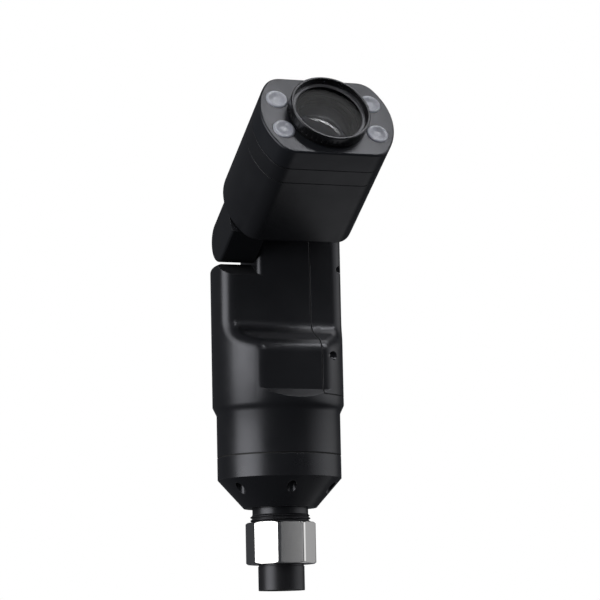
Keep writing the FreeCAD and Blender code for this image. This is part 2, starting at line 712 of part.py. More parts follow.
def make_cover_gasket(envelope, cavity):
    """Flat seal in the joint between the housing and its side cover."""
    s = sizes
    slice_box = box("seal_slice", (s.part_plane, -FAR, s.part_low),
                    (s.part_plane + s.part_gap, FAR, TOP))
    foot = box("seal_foot", (s.part_plane, -FAR, s.part_low),
               (FAR, FAR, s.part_low + s.part_gap))
    region = fused("seal_region", [slice_box, foot])
    trimmed = revolved("seal_trim", [
        (0, s.seam_high), (s.body_radius - s.seam_inset, s.seam_high),
        (s.body_radius - s.seam_inset, TOP), (0, TOP)])
    front = cut("seal_front_tool", front_tool("seal_front", s.seam_inset, s.seam_inset),
                [front_foot("seal_foot_tool", s.seam_inset)])
    dome = cylinder("seal_dome", s.knuckle_radius - s.seam_inset, 2 * FAR, -FAR, s.hinge_y,
                    s.hinge_z, ALONG_X)
    below = box("seal_below", (-FAR, -FAR, s.seam_high), (FAR, FAR, s.hinge_z))
    back = box("seal_back", (-FAR, s.hinge_y + s.knuckle_radius - s.seam_inset,
                             s.shoulder_z - s.seam_inset), (FAR, FAR, TOP))
    skin = common("seal_skin", [trimmed, region, fused("seal_limits", [dome, below])])
    ring = cut("seal_ring", skin, [front, cavity, back])
    bosses = common("seal_bosses", [
        fused("seal_boss_set", along_x("seal_boss", s.cover_boss, 10, 22, cover_screw_places())), region])
    tabs = cut("seal_tabs", bosses, [front])
    drills = along_x("seal_drill", s.cover_drill, 10, FAR, cover_screw_places())
    node("cover_gasket", cut("seal_solid", fused("seal_all", [ring, tabs]), drills))


def make_cover_screws():
    s = sizes
    screw = cap_screw("cover_screw", s.cover_head, s.cover_head_high, s.cover_shank,
                      s.cover_screw_length, s.cover_socket)
    top = s.cover_head_low + s.cover_head_high
    places = [(top, y, z, ALONG_MINUS_X) for y, z in cover_screw_places()]
    node("side_cover_screws", screw_set("cover_screw_set", screw, places))


# ---------------------------------------------------------------- tilt drive
def gear_radius(teeth):
    return SIZES["gear_module"] * teeth / 2.0


def drive_centres():
    """(y, z) of the hinge, the two idlers and the motor pinion."""
    hinge = Vector(0, SIZES["hinge_y"], SIZES["hinge_z"])
    idler = gear_radius(SIZES["idler_teeth"])
    reach = gear_radius(SIZES["tilt_teeth"]) + idler
    side = SIZES["idler_y"] - hinge.y
    upper = Vector(0, SIZES["idler_y"], hinge.z - math.sqrt(reach ** 2 - side ** 2))
    lower = upper - Vector(0, 0, 2 * idler)
    pinion = lower - Vector(0, 0, idler + gear_radius(SIZES["pinion_teeth"]))
    return hinge, upper, lower, pinion


def gear_points(teeth, backlash=0.03):
    """Outline of an involute gear with a tooth on the +X axis."""
    module = SIZES["gear_module"]
    pitch = gear_radius(teeth)
    pressure = math.radians(20.0)
    base = pitch * math.cos(pressure)
    tip = pitch + module * 0.96
    root = pitch - module * 1.25
    half_tooth = math.pi / (2 * teeth) - backlash / (2 * pitch)
    at_pitch = math.tan(pressure) - pressure
    flank = []
    steps = 4
    start = max(base, root)
    for step in range(steps + 1):
        radius = start + (tip - start) * step / steps
        angle = math.acos(min(1.0, base / radius))
        flank.append((radius, half_tooth + at_pitch - (math.tan(angle) - angle)))
    points = []
    for tooth in range(teeth):
        middle = 2 * math.pi * tooth / teeth
        foot = flank[0][1]
        points.append((root, middle - foot))
        points += [(radius, middle - angle) for radius, angle in flank if radius > root]
        points += [(radius, middle + angle) for radius, angle in reversed(flank) if radius > root]
        points.append((root, middle + foot))
    return [Vector(r * math.cos(a), r * math.sin(a), 0) for r, a in points]


def gear(name, teeth, bore, centre, turn):
    """A spur gear along X; turn is the angle of one tooth from +Y towards +Z."""
    outline = gear_points(teeth)
    wire = Part.makePolygon(outline + [outline[0]])
    disc = Part.Face(wire).extrude(Vector(0, 0, SIZES["gear_width"]))
    solid = disc.cut(Part.makeCylinder(bore, SIZES["gear_width"]))
    feature = doc.addObject("Part::Feature", name + "_teeth")
    feature.Shape = solid
    place = Vector(SIZES["gear_low"], centre.y, centre.z)
    feature.Placement = Placement(place, YZ_SKETCH.multiply(Rotation(Z_AXIS, turn)))
    return node(name, feature)


def heading(start, end):
    return math.degrees(math.atan2(end.z - start.z, end.y - start.y))


def next_turn(turn, teeth, direction, next_teeth):
    """Turn of the next gear so that its gap meets the tooth of the one before."""
    step = 360.0 / teeth
    ahead = (direction - turn) % step
    return direction + 180.0 + ahead * teeth / next_teeth + 180.0 / next_teeth


def make_drive():
    s = sizes
    hinge, upper, lower, pinion = drive_centres()
    tilt_teeth = SIZES["tilt_teeth"]
    idler_teeth = SIZES["idler_teeth"]
    pinion_teeth = SIZES["pinion_teeth"]
    first = heading(hinge, upper)
    gear("tilt_gear", tilt_teeth, SIZES["shaft_radius"], hinge, first)
    upper_turn = next_turn(first, tilt_teeth, first, idler_teeth)
    idler_bore = SIZES["idler_pin_radius"] + SIZES["running_gap"]
    gear("idler_gear_upper", idler_teeth, idler_bore, upper, upper_turn)
    lower_turn = next_turn(upper_turn, idler_teeth, heading(upper, lower), idler_teeth)
    gear("idler_gear_lower", idler_teeth, idler_bore, lower, lower_turn)
    pinion_turn = next_turn(lower_turn, idler_teeth, heading(lower, pinion), pinion_teeth)
    gear("drive_pinion", pinion_teeth, SIZES["output_radius"], pinion, pinion_turn)
    make_gear_plate(upper, lower, pinion)
    make_motor(pinion)
    idler_pins = []
    for index, centre in enumerate((upper, lower)):
        stem = cylinder("idler_stem_%d" % index, s.idler_pin_radius,
                        s.gear_low + s.gear_width + 1.2 - s.plate_low, s.plate_low,
                        centre.y, centre.z, ALONG_X)
        collar = cylinder("idler_collar_%d" % index, s.idler_pin_radius + 1.4, 1.0,
                          s.gear_low + s.gear_width + 0.2, centre.y, centre.z, ALONG_X)
        washer = cylinder("idler_washer_%d" % index, s.idler_pin_radius + 1.4, 2.3,
                          s.plate_high, centre.y, centre.z, ALONG_X)
        idler_pins.append(fused("idler_pin_%d" % index, [stem, collar, washer]))
    node("idler_pins", group("idler_pin_group", idler_pins))


def make_gear_plate(upper, lower, pinion):
    s = sizes
    back = s.hinge_y + s.knuckle_radius - s.knuckle_wall - 0.4
    plate = yz_pad("gear_plate_body", [
        (-s.plate_front, 155), (-5, 155), (-5, 158), (22, 158), (22, 184), (back, 184), (back, s.hinge_z),
        (8, s.hinge_z + 11), (-s.plate_front, s.hinge_z + 11)], s.plate_low, s.plate_high)
    holes = [
        cylinder("plate_bush_hole", s.bush_radius, 10, s.plate_low - 2, s.hinge_y, s.hinge_z,
                 ALONG_X),
        cylinder("plate_output_hole", s.nose_radius, 10, s.plate_low - 2, pinion.y, pinion.z, ALONG_X)]
    holes += along_x("plate_pin_hole", s.idler_pin_radius, s.plate_low - 2, s.plate_high + 2,
                     [(upper.y, upper.z), (lower.y, lower.z)])
    holes += along_x("plate_screw_hole", s.plate_drill, s.plate_low - 2, s.plate_high + 2,
                     plate_screw_places())
    holes += along_x("plate_boss_gap", 4.2, s.plate_low - 2, s.plate_high + 2,
                     [cover_screw_places()[1]])
    node("gear_plate", cut("gear_plate_solid", plate, holes))
    screw = cap_screw("plate_screw", s.plate_head, s.plate_head_high, s.plate_shank,
                      s.plate_screw_length, s.plate_socket)
    top = s.plate_high + s.plate_head_high
    places = [(top, y, z, ALONG_MINUS_X) for y, z in plate_screw_places()]
    node("gear_plate_screws", screw_set("plate_screw_set", screw, places))


def make_motor(pinion):
    s = sizes
    box_length = s.plate_low - s.gearbox_left
    case = cylinder("gearbox_case", s.gearbox_radius, box_length, s.gearbox_left, pinion.y,
                    pinion.z, ALONG_X)
    nose = cylinder("gearbox_nose", s.nose_radius, s.plate_high - s.plate_low, s.plate_low, pinion.y,
                    pinion.z, ALONG_X)
    hole = cylinder("gearbox_hole", s.output_radius + s.running_gap, 20, s.plate_low - 8, pinion.y,
                    pinion.z, ALONG_X)
    gearbox = cut("gearbox_solid", fused("gearbox_blank", [case, nose]), [hole])
    node("motor_gearbox", gearbox)
    can = cylinder("motor_can", s.motor_radius, s.gearbox_left - s.motor_left, s.motor_left,
                   pinion.y, pinion.z, ALONG_X)
    tail = cylinder("motor_tail", s.nose_radius, 2.5, s.motor_left - 2.5, pinion.y, pinion.z, ALONG_X)
    node("gear_motor", fused("motor_solid", [can, tail]))
    shaft = cylinder("output_stem", s.output_radius, s.gear_low + s.gear_width + 1 - 5, 5,
                     pinion.y, pinion.z, ALONG_X)
    node("output_shaft", shaft)


def make_shaft():
    s = sizes
    stem = revolved("shaft_body", [
        (s.shaft_bore, 0), (s.shaft_radius, 0), (s.shaft_radius, s.shaft_right - s.shaft_left),
        (s.shaft_bore, s.shaft_right - s.shaft_left)])
    at(stem, s.shaft_left, s.hinge_y, s.hinge_z, ALONG_X)
    node("hinge_shaft", stem)
    left_length = s.knuckle_side - 1.9
    bushes = []
    for index, (low, length) in enumerate(((s.knuckle_left + 1.9, left_length),
                                           (s.plate_low, s.plate_high - s.plate_low))):
        bush = padded("bush_%d" % index, length, circles=[
            (0, 0, s.bush_radius), (0, 0, s.bush_bore)])
        bushes.append(at(bush, low, s.hinge_y, s.hinge_z, ALONG_X))
    node("shaft_bushes", group("bush_group", bushes))
    seal = padded("seal_ring_body", 1.9, circles=[(0, 0, s.seal_radius), (0, 0, s.bush_bore)])
    node("shaft_seal", at(seal, s.knuckle_left, s.hinge_y, s.hinge_z, ALONG_X))
    nut = padded("shaft_collar_body", 1.2, circles=[(0, 0, 4.4), (0, 0, s.shaft_radius)])
    node("shaft_collar", at(nut, s.gear_low + s.gear_width, s.hinge_y, s.hinge_z, ALONG_X))


# ---------------------------------------------------------------- electronics
def make_board():
    s = sizes
    carrier = padded("carrier_body", s.carrier_thick,
                     circles=[(0, 0, s.cap_radius - s.wall - 0.4), (0, -14, 7.0), (0, 20, 5.0)])
    at(carrier, 0, 0, s.carrier_low)
    foot = (-s.board_half_width, s.board_front, s.carrier_low)
    slot = box("carrier_slot", foot,
               (s.board_half_width, s.board_back, s.carrier_low + s.carrier_thick + 1))
    node("board_carrier", cut("carrier_solid", carrier, [slot]))
    board = box("board_plate", foot, (s.board_half_width, s.board_back, s.board_top))
    node("control_board", board)
    chips = []
    for index, (x, z, wide, high, thick) in enumerate((
            (-8.0, 120.0, 12.0, 12.0, 1.6), (8.0, 112.0, 9.0, 9.0, 1.4),
            (9.0, 132.0, 8.0, 12.0, 6.0), (-11.0, 138.0, 12.0, 8.0, 4.0),
            (-12.0, 105.0, 8.0, 6.0, 2.0))):
        chips.append(box("chip_%d" % index, (x - wide / 2, s.board_front - thick, z - high / 2),
                         (x + wide / 2, s.board_front, z + high / 2)))
    node("board_chips", group("chip_group", chips))


# ---------------------------------------------------------------- head
HEAD = Placement(Vector(0, SIZES["hinge_y"], SIZES["hinge_z"]),
                 Rotation(X_AXIS, SIZES["rest_tilt"]))


def double_d(name, low, high, inset=0):
    """The head's section between two heights, shrunk all round by inset: flat above and
    below, arched at the sides."""
    s = sizes
    half_width = s.head_half_width - inset
    half_height = s.head_half_height - inset
    block = box(name + "_block", (-half_width, s.head_centre - half_height, low),
                (half_width, s.head_centre + half_height, high))
    offset = s.head_half_width - s.head_side_radius
    sides = [cylinder("%s_side_%d" % (name, index), s.head_side_radius - inset,
                      as_size(high) - low, shift, s.head_centre, low)
             for index, shift in enumerate((offset, -offset))]
    blank = common(name + "_blank", [block, fused(name + "_sides", sides)])

    def is_corner(edge):
        """True where a flat meets an arched side."""
        if not is_along(edge, Z_AXIS):
            return False
        height = abs(edge.Vertexes[0].Point.y - SIZES["head_centre"])
        return abs(height - num(half_height)) < 0.01

    return rounded(name, blank, s.head_corner - inset, is_corner)


def head_screw_places():
    centre = sizes.head_centre
    return [(x, centre + y) for x in (-20.0, 20.0) for y in (-23.0, 23.0)]


def led_places():
    s = sizes
    return [(x, y) for x in (-s.led_x, s.led_x)
            for y in (s.head_centre - s.led_y, s.head_centre + s.led_y)]


def posts(name, radius, low, high, places):
    return [cylinder("%s_%d" % (name, index), radius, as_size(high) - low, x, y, low)
            for index, (x, y) in enumerate(places)]


def end_edges(height):
    def wanted(edge):
        box_of = edge.BoundBox
        return abs(box_of.ZMin - height) < 0.01 and abs(box_of.ZMax - height) < 0.01
    return wanted


def arm_screw_places():
    return [(-29.5, -4.5), (-29.5, 6.5), (-21.5, -4.5), (-21.5, 6.5)]


def make_head_shell():
    s = sizes
    outer = double_d("shell_outer", s.head_rear, s.head_seam_rear - s.seam_gap)
    smooth = rounded("shell_smooth", outer, s.rear_edge, end_edges(SIZES["head_rear"]))
    inner = double_d("shell_inner", s.head_rear + s.rear_wall, s.head_seam_rear + 5, s.head_wall)
    hollow = cut("shell_hollow", smooth, [inner])
    drills = posts("shell_drill", s.large_drill, s.head_rear - 1, s.head_rear + 6, head_screw_places())
    drills += posts("shell_sink", s.large_sink, s.head_rear - 1, s.head_rear + s.large_head_high,
                    head_screw_places())
    drills += posts("shell_arm_drill", s.large_drill, s.head_rear - 1, s.head_rear + s.rear_wall + 1,
                    arm_screw_places())
    node("head_shell", cut("shell_solid", hollow, drills), HEAD)


def make_middle_ring():
    s = sizes
    outer = double_d("ring_outer", s.head_seam_rear, s.head_seam_front - s.seam_gap)
    inner = double_d("ring_inner", s.head_seam_rear - 1, s.head_seam_front + 1, s.head_wall)
    frame = cut("ring_frame", outer, [inner])
    bosses = posts("ring_boss", s.head_boss, s.head_seam_rear, s.head_seam_front - s.seam_gap,
                   head_screw_places())
    web = box("ring_web", (-41, s.head_centre - 28, s.head_seam_rear + 1),
              (41, s.head_centre + 28, s.head_seam_rear + 4))
    clipped = common("ring_clipped", [fused("ring_inside", bosses + [web]),
                                      double_d("ring_limit", s.head_seam_rear, s.head_face, 1)])
    solid = fused("ring_solid", [frame, clipped])
    drills = posts("ring_drill", s.large_drill, s.head_seam_rear - 1, s.head_seam_front + 1,
                   head_screw_places())
    drills.append(cylinder("ring_barrel_hole", s.barrel_bore + s.barrel_wall, 10, 0, s.head_centre,
                           s.head_seam_rear - 1))
    node("middle_ring", cut("ring_drilled", solid, drills), HEAD)


def seam_seal(name, height):
    """Thin seal that fills one of the head's seams, set back from the outside."""
    s = sizes
    outer = double_d(name + "_outer", height - s.seam_gap, height, s.seam_inset)
    inner = double_d(name + "_inner", height - 2, height + 2, s.head_wall)
    ring = cut(name + "_ring", outer, [inner])
    node(name, ring, HEAD)


def make_bezel():
    s = sizes
    outer = double_d("bezel_outer", s.head_seam_front, s.head_face)
    smooth = rounded("bezel_smooth", outer, s.face_edge, end_edges(SIZES["head_face"]))
    inner = double_d("bezel_inner", s.head_seam_front - 1, s.head_face - 4, s.head_wall)
    hollow = cut("bezel_hollow", smooth, [inner])
    bosses = common("bezel_bosses", [
        fused("bezel_boss_set", posts("bezel_boss", s.head_boss, s.head_seam_front, s.head_face - 3,
                                      head_screw_places())),
        double_d("bezel_limit", s.head_seam_front, s.head_face, 1)])
    solid = fused("bezel_blank", [hollow, bosses])
    drills = posts("bezel_tap", s.large_shank, s.head_seam_front - 1, s.head_face - 5,
                   head_screw_places())
    drills += posts("bezel_led_hole", s.led_radius, s.head_face - 6, s.head_face + 1,
                    led_places())
    drills.append(cylinder("bezel_bore_tool", s.bezel_bore, 30, 0, s.head_centre,
                           s.head_seam_front - 1))
    node("front_bezel", cut("bezel_drilled", solid, drills), HEAD)


def make_head_screws():
    s = sizes
    screw = large_screw("head_screw", s.head_screw_length)
    places = [(x, y, s.head_rear, Rotation()) for x, y in head_screw_places()]
    node("head_tie_screws", screw_set("head_screw_set", screw, places), HEAD)
    short = large_screw("arm_screw", s.arm_screw_length)
    turn = Rotation(X_AXIS, 180)
    top = s.head_rear + s.rear_wall + s.large_head_high
    places = [(x, y, top, turn) for x, y in arm_screw_places()]
    node("arm_screws", screw_set("arm_screw_set", short, places), HEAD)


def make_arm():
    """Side arm between the hinge and the back of the head."""
    s = sizes
    width = s.arm_right - s.arm_left
    end = cylinder("arm_end", s.arm_radius, width, s.arm_left, 0, 0, ALONG_X)
    bar = box("arm_bar", (s.arm_left, -s.arm_radius, 0), (s.arm_right, s.arm_radius, s.head_rear))
    blank = fused("arm_blank", [end, bar])
    blank.Refine = True
    outer_x = SIZES["arm_left"]

    def is_outer(edge):
        box_of = edge.BoundBox
        flat = abs(box_of.XMin - outer_x) < 0.01 and abs(box_of.XMax - outer_x) < 0.01
        return flat and abs(box_of.ZMin - SIZES["head_rear"]) > 0.01

    smooth = rounded("arm_smooth", blank, s.arm_edge, is_outer)
    drills = posts("arm_tap", s.large_shank, s.head_rear - 9, s.head_rear + 1, arm_screw_places())
    drills.append(cylinder("arm_bore", s.shaft_radius, 40, s.shaft_left, 0, 0, ALONG_X))
    node("hinge_arm", cut("arm_solid", smooth, drills), HEAD)


def make_leds():
    s = sizes
    lens = revolved("led_lens_body", [
        (0, 0), (s.led_radius, 0), (s.led_radius, 4.3), (s.led_radius - 0.5, 4.8),
        (s.led_radius - 2.5, 5.3), (0, 5.6)])
    for index, (x, y) in enumerate(led_places(), start=1):
        link = doc.addObject("App::Link", "led_lens_link_%d" % index)
        link.LinkedObject = lens
        link.LinkTransform = False
        link.Placement = Placement(Vector(num(x), num(y), num(s.head_face) - 4.6), Rotation())
        node("led_lens_%d" % index, group("led_lens_node_%d" % index, [link]), HEAD)
    low = s.head_seam_front + s.led_board_gap
    high = low + s.led_board_thick
    board = double_d("led_board_outer", low, high, s.head_wall + 0.3)
    holes = [cylinder("led_board_hole", s.bezel_bore + 0.4, 10, 0, s.head_centre,
                      s.head_seam_front)]
    holes += posts("led_board_boss_gap", s.head_boss + 0.3, s.head_seam_front, s.head_seam_front + 8,
                   head_screw_places())
    node("led_board", cut("led_board_solid", board, holes), HEAD)
    chips = [box("led_chip_%d" % index, (x - 2, y - 2, high), (x + 2, y + 2, high + 1.5))
             for index, (x, y) in enumerate(led_places())]
    node("led_chips", group("led_chip_group", chips), HEAD)


def about_lens(obj):
    """Moves a turned piece of the lens onto the lens axis."""
    return at(obj, 0, sizes.head_centre, 0)


def make_lens():
    s = sizes
    face = s.head_face
    sleeve = s.barrel_bore + s.barrel_wall
    barrel = revolved("barrel_body", [
        (s.barrel_bore, s.barrel_low), (sleeve, s.barrel_low), (sleeve, s.barrel_step),
        (s.barrel_radius, s.barrel_step), (s.barrel_radius, face), (s.barrel_thread, face),
        (s.barrel_thread, face - 5), (s.barrel_bore, face - 5)])
    node("lens_barrel", about_lens(barrel), HEAD)
    make_camera_block()
    lens_group("focus_lens_group", s.focus_low, s.focus_high)
    lens_group("zoom_lens_group", s.zoom_low, s.zoom_high)
    cell = revolved("cell_body", [
        (s.lens_radius, s.cell_low), (s.barrel_bore, s.cell_low), (s.barrel_bore, s.cell_high),
        (s.lens_radius, s.cell_high)])
    node("front_lens_cell", about_lens(cell), HEAD)
    glass = dish_lens("front_glass", s.lens_radius, s.lens_low, s.lens_rim, s.lens_bulge)
    node("front_lens", about_lens(glass), HEAD)


def make_camera_block():
    """The camera behind the lens, its sensor and the board it stands on."""
    s = sizes
    low_y = s.head_centre - s.block_half_height
    high_y = s.head_centre + s.block_half_height
    camera = box("camera_case", (-s.block_half_width, low_y, s.block_low),
                 (s.block_half_width, high_y, s.barrel_low))
    window = cylinder("camera_window", s.window_radius, 10, 0, s.head_centre, s.window_low)
    node("camera_block", cut("camera_solid", camera, [window]), HEAD)
    sensor = box("sensor_plate", (-9, s.head_centre - 8, s.window_low),
                 (9, s.head_centre + 8, s.sensor_high))
    node("image_sensor", sensor, HEAD)
    board = box("sensor_board_plate", (-s.block_half_width - 1, low_y, s.sensor_board_low),
                (s.block_half_width + 1, high_y, s.sensor_board_high))
    node("sensor_board", board, HEAD)
    spacers = posts("board_spacer", s.spacer_radius, s.sensor_board_high, s.block_low, [
        (x, s.head_centre + y) for x in (-20.0, 20.0) for y in (-15.0, 15.0)])
    feet = posts("board_foot", s.spacer_radius, s.head_rear + s.rear_wall, s.sensor_board_low, [
        (x, s.head_centre + y) for x in (-14.0, 20.0) for y in (-15.0, 15.0)])
    node("board_spacers", group("spacer_group", spacers + feet), HEAD)


def dish_lens(name, radius, low, rim_high, bulge):
    """A lens with a flat back and a domed front."""
    dome_radius = (radius * radius + bulge * bulge) / (bulge * 2)
    ball = doc.addObject("Part::Sphere", name + "_ball")
    bind(ball, "Radius", dome_radius)
    at(ball, 0, 0, rim_high + bulge - dome_radius)
    disc = cylinder(name + "_disc", radius, rim_high + bulge - low, 0, 0, low)
    return common(name, [ball, disc])


def lens_group(name, low, high):
    """A sliding lens in its carrier, free in the barrel."""
    s = sizes
    carrier = revolved(name + "_carrier", [
        (s.group_bore, low), (s.barrel_bore - s.slide_gap, low),
        (s.barrel_bore - s.slide_gap, high), (s.group_bore, high)])
    node(name, about_lens(carrier), HEAD)
    glass = dish_lens(name + "_glass_body", s.group_bore, low + 1.0, high - 2.6, as_size(2.0))
    node(name.replace("_group", "_glass"), about_lens(glass), HEAD)


def make_filter():
    """Screw-in filter: grip ring, flat glass and the ring that holds the glass."""
    s = sizes
    face = s.head_face
    front = face + s.filter_out
    ring = revolved("filter_body", [
        (s.filter_seat, face - 4.2), (s.filter_thread, face - 4.2), (s.filter_thread, face + 0.35),
        (s.filter_radius - 0.4, face + 0.35), (s.filter_radius, face + 0.75),
        (s.filter_radius, front - 0.5), (s.filter_radius - 0.5, front),
        (s.filter_mouth + 0.3, front), (s.filter_mouth, front - 0.3),
        (s.filter_mouth, face + s.filter_mouth_low), (s.filter_bore, face + s.filter_mouth_low),
        (s.filter_bore, face + s.filter_glass_low), (s.filter_seat, face + s.filter_glass_low)])
    about_lens(ring)
    notches = []
    count = 48
    circle = s.filter_radius + 0.25
    for index in range(count):
        angle = 2 * math.pi * index / count
        notches.append(cylinder("grip_%d" % index, 0.55, 3.4, circle * math.cos(angle),
                                s.head_centre + circle * math.sin(angle), face + 2.3))
    node("filter_ring", cut("filter_solid", ring, notches), HEAD)
    glass = padded("filter_glass_body", s.filter_glass_high - s.filter_glass_low,
                   circles=[(0, 0, s.filter_bore)])
    at(glass, 0, s.head_centre, face + s.filter_glass_low)
    node("filter_glass", glass, HEAD)
    low = face + s.filter_glass_high
    keeper = revolved("keeper_body", [
        (s.filter_seat, low), (s.filter_bore, low), (s.filter_bore, low + 0.7),
        (s.filter_bore - 0.2, low + 0.9), (s.filter_seat + 0.4, low + 0.9),
        (s.filter_seat, low + 0.6)])
    node("filter_retaining_ring", about_lens(keeper), HEAD)


# ---------------------------------------------------------------- assembly
def check_document():
    failed = [obj.Name for obj in doc.Objects
              if "Invalid" in obj.State or "Error" in obj.State]
    if failed:
        raise RuntimeError("failed objects: " + ", ".join(failed))
    for obj in nodes:
        shape = obj.Shape
        if shape.isNull() or not shape.isValid() or shape.Volume <= 0:
            raise RuntimeError("%s has no valid shape" % obj.Label)


def build():
    make_pole_tube()
    make_pole_gasket()
    make_thrust_ring()
    make_union_nut()
    make_threaded_stub()
    make_lock_ring()
    make_connector()
    make_end_cap()
    make_cap_gasket()
    make_cap_screws()
    envelope = make_envelope()
    cavity = make_cavity()
    make_housing(envelope, cavity)
    make_side_cover(envelope, cavity)
    make_cover_gasket(envelope, cavity)
    make_cover_screws()
    make_drive()
    make_shaft()
    make_board()
    make_arm()
    make_head_shell()
    make_middle_ring()
    seam_seal("head_seal_rear", sizes.head_seam_rear)
    seam_seal("head_seal_front", sizes.head_seam_front)
    make_bezel()
    make_head_screws()
    make_leds()
    make_lens()
    make_filter()
    doc.recompute()
    check_document()
    os.makedirs("parts", exist_ok=True)
    for obj in nodes:
        obj.Shape.exportStep("parts/%s.step" % obj.Label)
        print("%-24s solids %d volume %.1f" % (obj.Label, len(obj.Shape.Solids), obj.Shape.Volume))
    print(len(nodes), "nodes")


build()
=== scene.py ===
import json
import math

import bmesh
import bpy
from mathutils import Matrix, Vector


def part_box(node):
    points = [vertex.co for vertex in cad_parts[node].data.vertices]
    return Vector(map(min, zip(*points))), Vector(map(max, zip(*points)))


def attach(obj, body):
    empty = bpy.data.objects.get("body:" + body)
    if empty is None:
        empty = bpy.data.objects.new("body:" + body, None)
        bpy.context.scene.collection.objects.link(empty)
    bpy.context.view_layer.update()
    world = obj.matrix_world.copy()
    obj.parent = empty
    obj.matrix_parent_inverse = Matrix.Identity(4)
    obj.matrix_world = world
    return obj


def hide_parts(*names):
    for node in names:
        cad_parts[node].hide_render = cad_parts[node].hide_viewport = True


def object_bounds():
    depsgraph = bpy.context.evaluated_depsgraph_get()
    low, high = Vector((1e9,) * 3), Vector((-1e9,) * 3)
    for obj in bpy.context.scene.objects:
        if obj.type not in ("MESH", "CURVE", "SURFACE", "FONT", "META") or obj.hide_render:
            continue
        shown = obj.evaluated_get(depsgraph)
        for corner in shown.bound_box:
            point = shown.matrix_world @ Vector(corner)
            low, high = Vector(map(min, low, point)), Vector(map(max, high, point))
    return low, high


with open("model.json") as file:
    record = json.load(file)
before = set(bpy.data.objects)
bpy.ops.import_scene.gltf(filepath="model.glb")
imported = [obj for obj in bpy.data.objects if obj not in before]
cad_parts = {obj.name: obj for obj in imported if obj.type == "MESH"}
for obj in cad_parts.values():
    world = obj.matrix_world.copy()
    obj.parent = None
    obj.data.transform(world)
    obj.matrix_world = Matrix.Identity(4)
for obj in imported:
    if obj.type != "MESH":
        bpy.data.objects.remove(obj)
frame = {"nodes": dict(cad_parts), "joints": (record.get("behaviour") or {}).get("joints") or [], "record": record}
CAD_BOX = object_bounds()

# Inspection camera on a pole coupling. Metres, in the CAD model's own frame:
# +Z runs up the pole, the lens looks towards -Y and up.

MM = 0.001
NODES = frame["nodes"]
JOINTS = {joint["name"]: joint for joint in frame["joints"]}
CAD_LOW, CAD_HIGH = (Vector(corner) for corner in CAD_BOX)
BODY_CENTRE = Vector((0.0, 0.0, (CAD_LOW.z + CAD_HIGH.z) / 2))

# The head's own axes at rest: along the lens, across it, and up its face.
LENS_AXIS = Vector(JOINTS["zoom_slide"]["axis"]).normalized()
HEAD_X = Vector((1.0, 0.0, 0.0))
HEAD_UP = LENS_AXIS.cross(HEAD_X).normalized()


# ---------------------------------------------------------------- shader nodes
# Nearly all of a noise value lies between these two.
NOISE_LOW, NOISE_HIGH = 0.3, 0.7
BEVEL_SAMPLES = 6


def new_material(name, colour, roughness, metallic=0.0, **sockets):
    """A material with one Principled shader; returns it with its shader."""
    material = bpy.data.materials.new(name)
    material.use_nodes = True
    shader = material.node_tree.nodes["Principled BSDF"]
    shader.inputs["Base Color"].default_value = (*colour, 1.0)
    shader.inputs["Roughness"].default_value = roughness
    shader.inputs["Metallic"].default_value = metallic
    for socket, value in sockets.items():
        shader.inputs[socket.replace("_", " ")].default_value = value
    return material, shader


def add_node(material, kind, **values):
    """A new node; each value goes to the input of that name, or else to the setting."""
    node = material.node_tree.nodes.new(kind)
    for key, value in values.items():
        if key in node.inputs:
            node.inputs[key].default_value = value
        else:
            setattr(node, key, value)
    return node


def join(material, start, end):
    material.node_tree.links.new(start, end)


def object_noise(material, scale, stretch=(1.0, 1.0, 1.0), detail=4.0):
    """Noise in the object's own coordinates; scale is in waves per metre."""
    place = add_node(material, "ShaderNodeTexCoord")
    mapping = add_node(material, "ShaderNodeMapping", Scale=stretch)
    noise = add_node(material, "ShaderNodeTexNoise", Scale=scale, Detail=detail, Roughness=0.5)
    join(material, place.outputs["Object"], mapping.inputs["Vector"])
    join(material, mapping.outputs["Vector"], noise.inputs["Vector"])
    return noise.outputs["Fac"]


def remap(material, value, start, end, low=0.0, high=1.0):
    """Maps start..end onto low..high and holds the ends beyond them."""
    node = add_node(material, "ShaderNodeMapRange")
    for socket, number in (("From Min", start), ("From Max", end),
                           ("To Min", low), ("To Max", high)):
        node.inputs[socket].default_value = number
    join(material, value, node.inputs["Value"])
    return node.outputs["Result"]


def spread(material, noise, low, high):
    """Maps the middle of a noise value onto low..high."""
    return remap(material, noise, NOISE_LOW, NOISE_HIGH, low, high)


def combine(material, operation, first, second):
    """One Math node over two values."""
    node = add_node(material, "ShaderNodeMath", operation=operation)
    join(material, first, node.inputs[0])
    join(material, second, node.inputs[1])
    return node.outputs["Value"]


def blend_colours(material, factor, first, second):
    """Mixes two colours, each a plain colour or another node's output."""
    mix = add_node(material, "ShaderNodeMix", data_type="RGBA")
    sockets = [socket for socket in mix.inputs if socket.type == "RGBA"]
    for socket, colour in zip(sockets, (first, second)):
        if isinstance(colour, tuple):
            socket.default_value = (*colour, 1.0)
        else:
            join(material, colour, socket)
    join(material, factor, mix.inputs["Factor"])
    return next(out for out in mix.outputs if out.type == "RGBA")


def soft_edges(material, radius):
    """Rounds the shading of sharp edges, as a machined edge is broken."""
    bevel = add_node(material, "ShaderNodeBevel", samples=BEVEL_SAMPLES, Radius=radius)
    return bevel.outputs["Normal"]


def bump(material, shader, height, strength, distance, normal=None):
    node = add_node(material, "ShaderNodeBump", Strength=strength, Distance=distance)
    join(material, height, node.inputs["Height"])
    if normal is not None:
        join(material, normal, node.inputs["Normal"])
    join(material, node.outputs["Normal"], shader.inputs["Normal"])


# ---------------------------------------------------------------- materials
ANODISED_BLACK = (0.0088, 0.0092, 0.0108)
RUBBED_BLACK = (0.10, 0.10, 0.105)
COOL_GLEAM = (0.92, 0.93, 1.0, 1.0)
ANODISED_LEVEL = 0.55
WEAR_RADIUS = 0.5 * MM
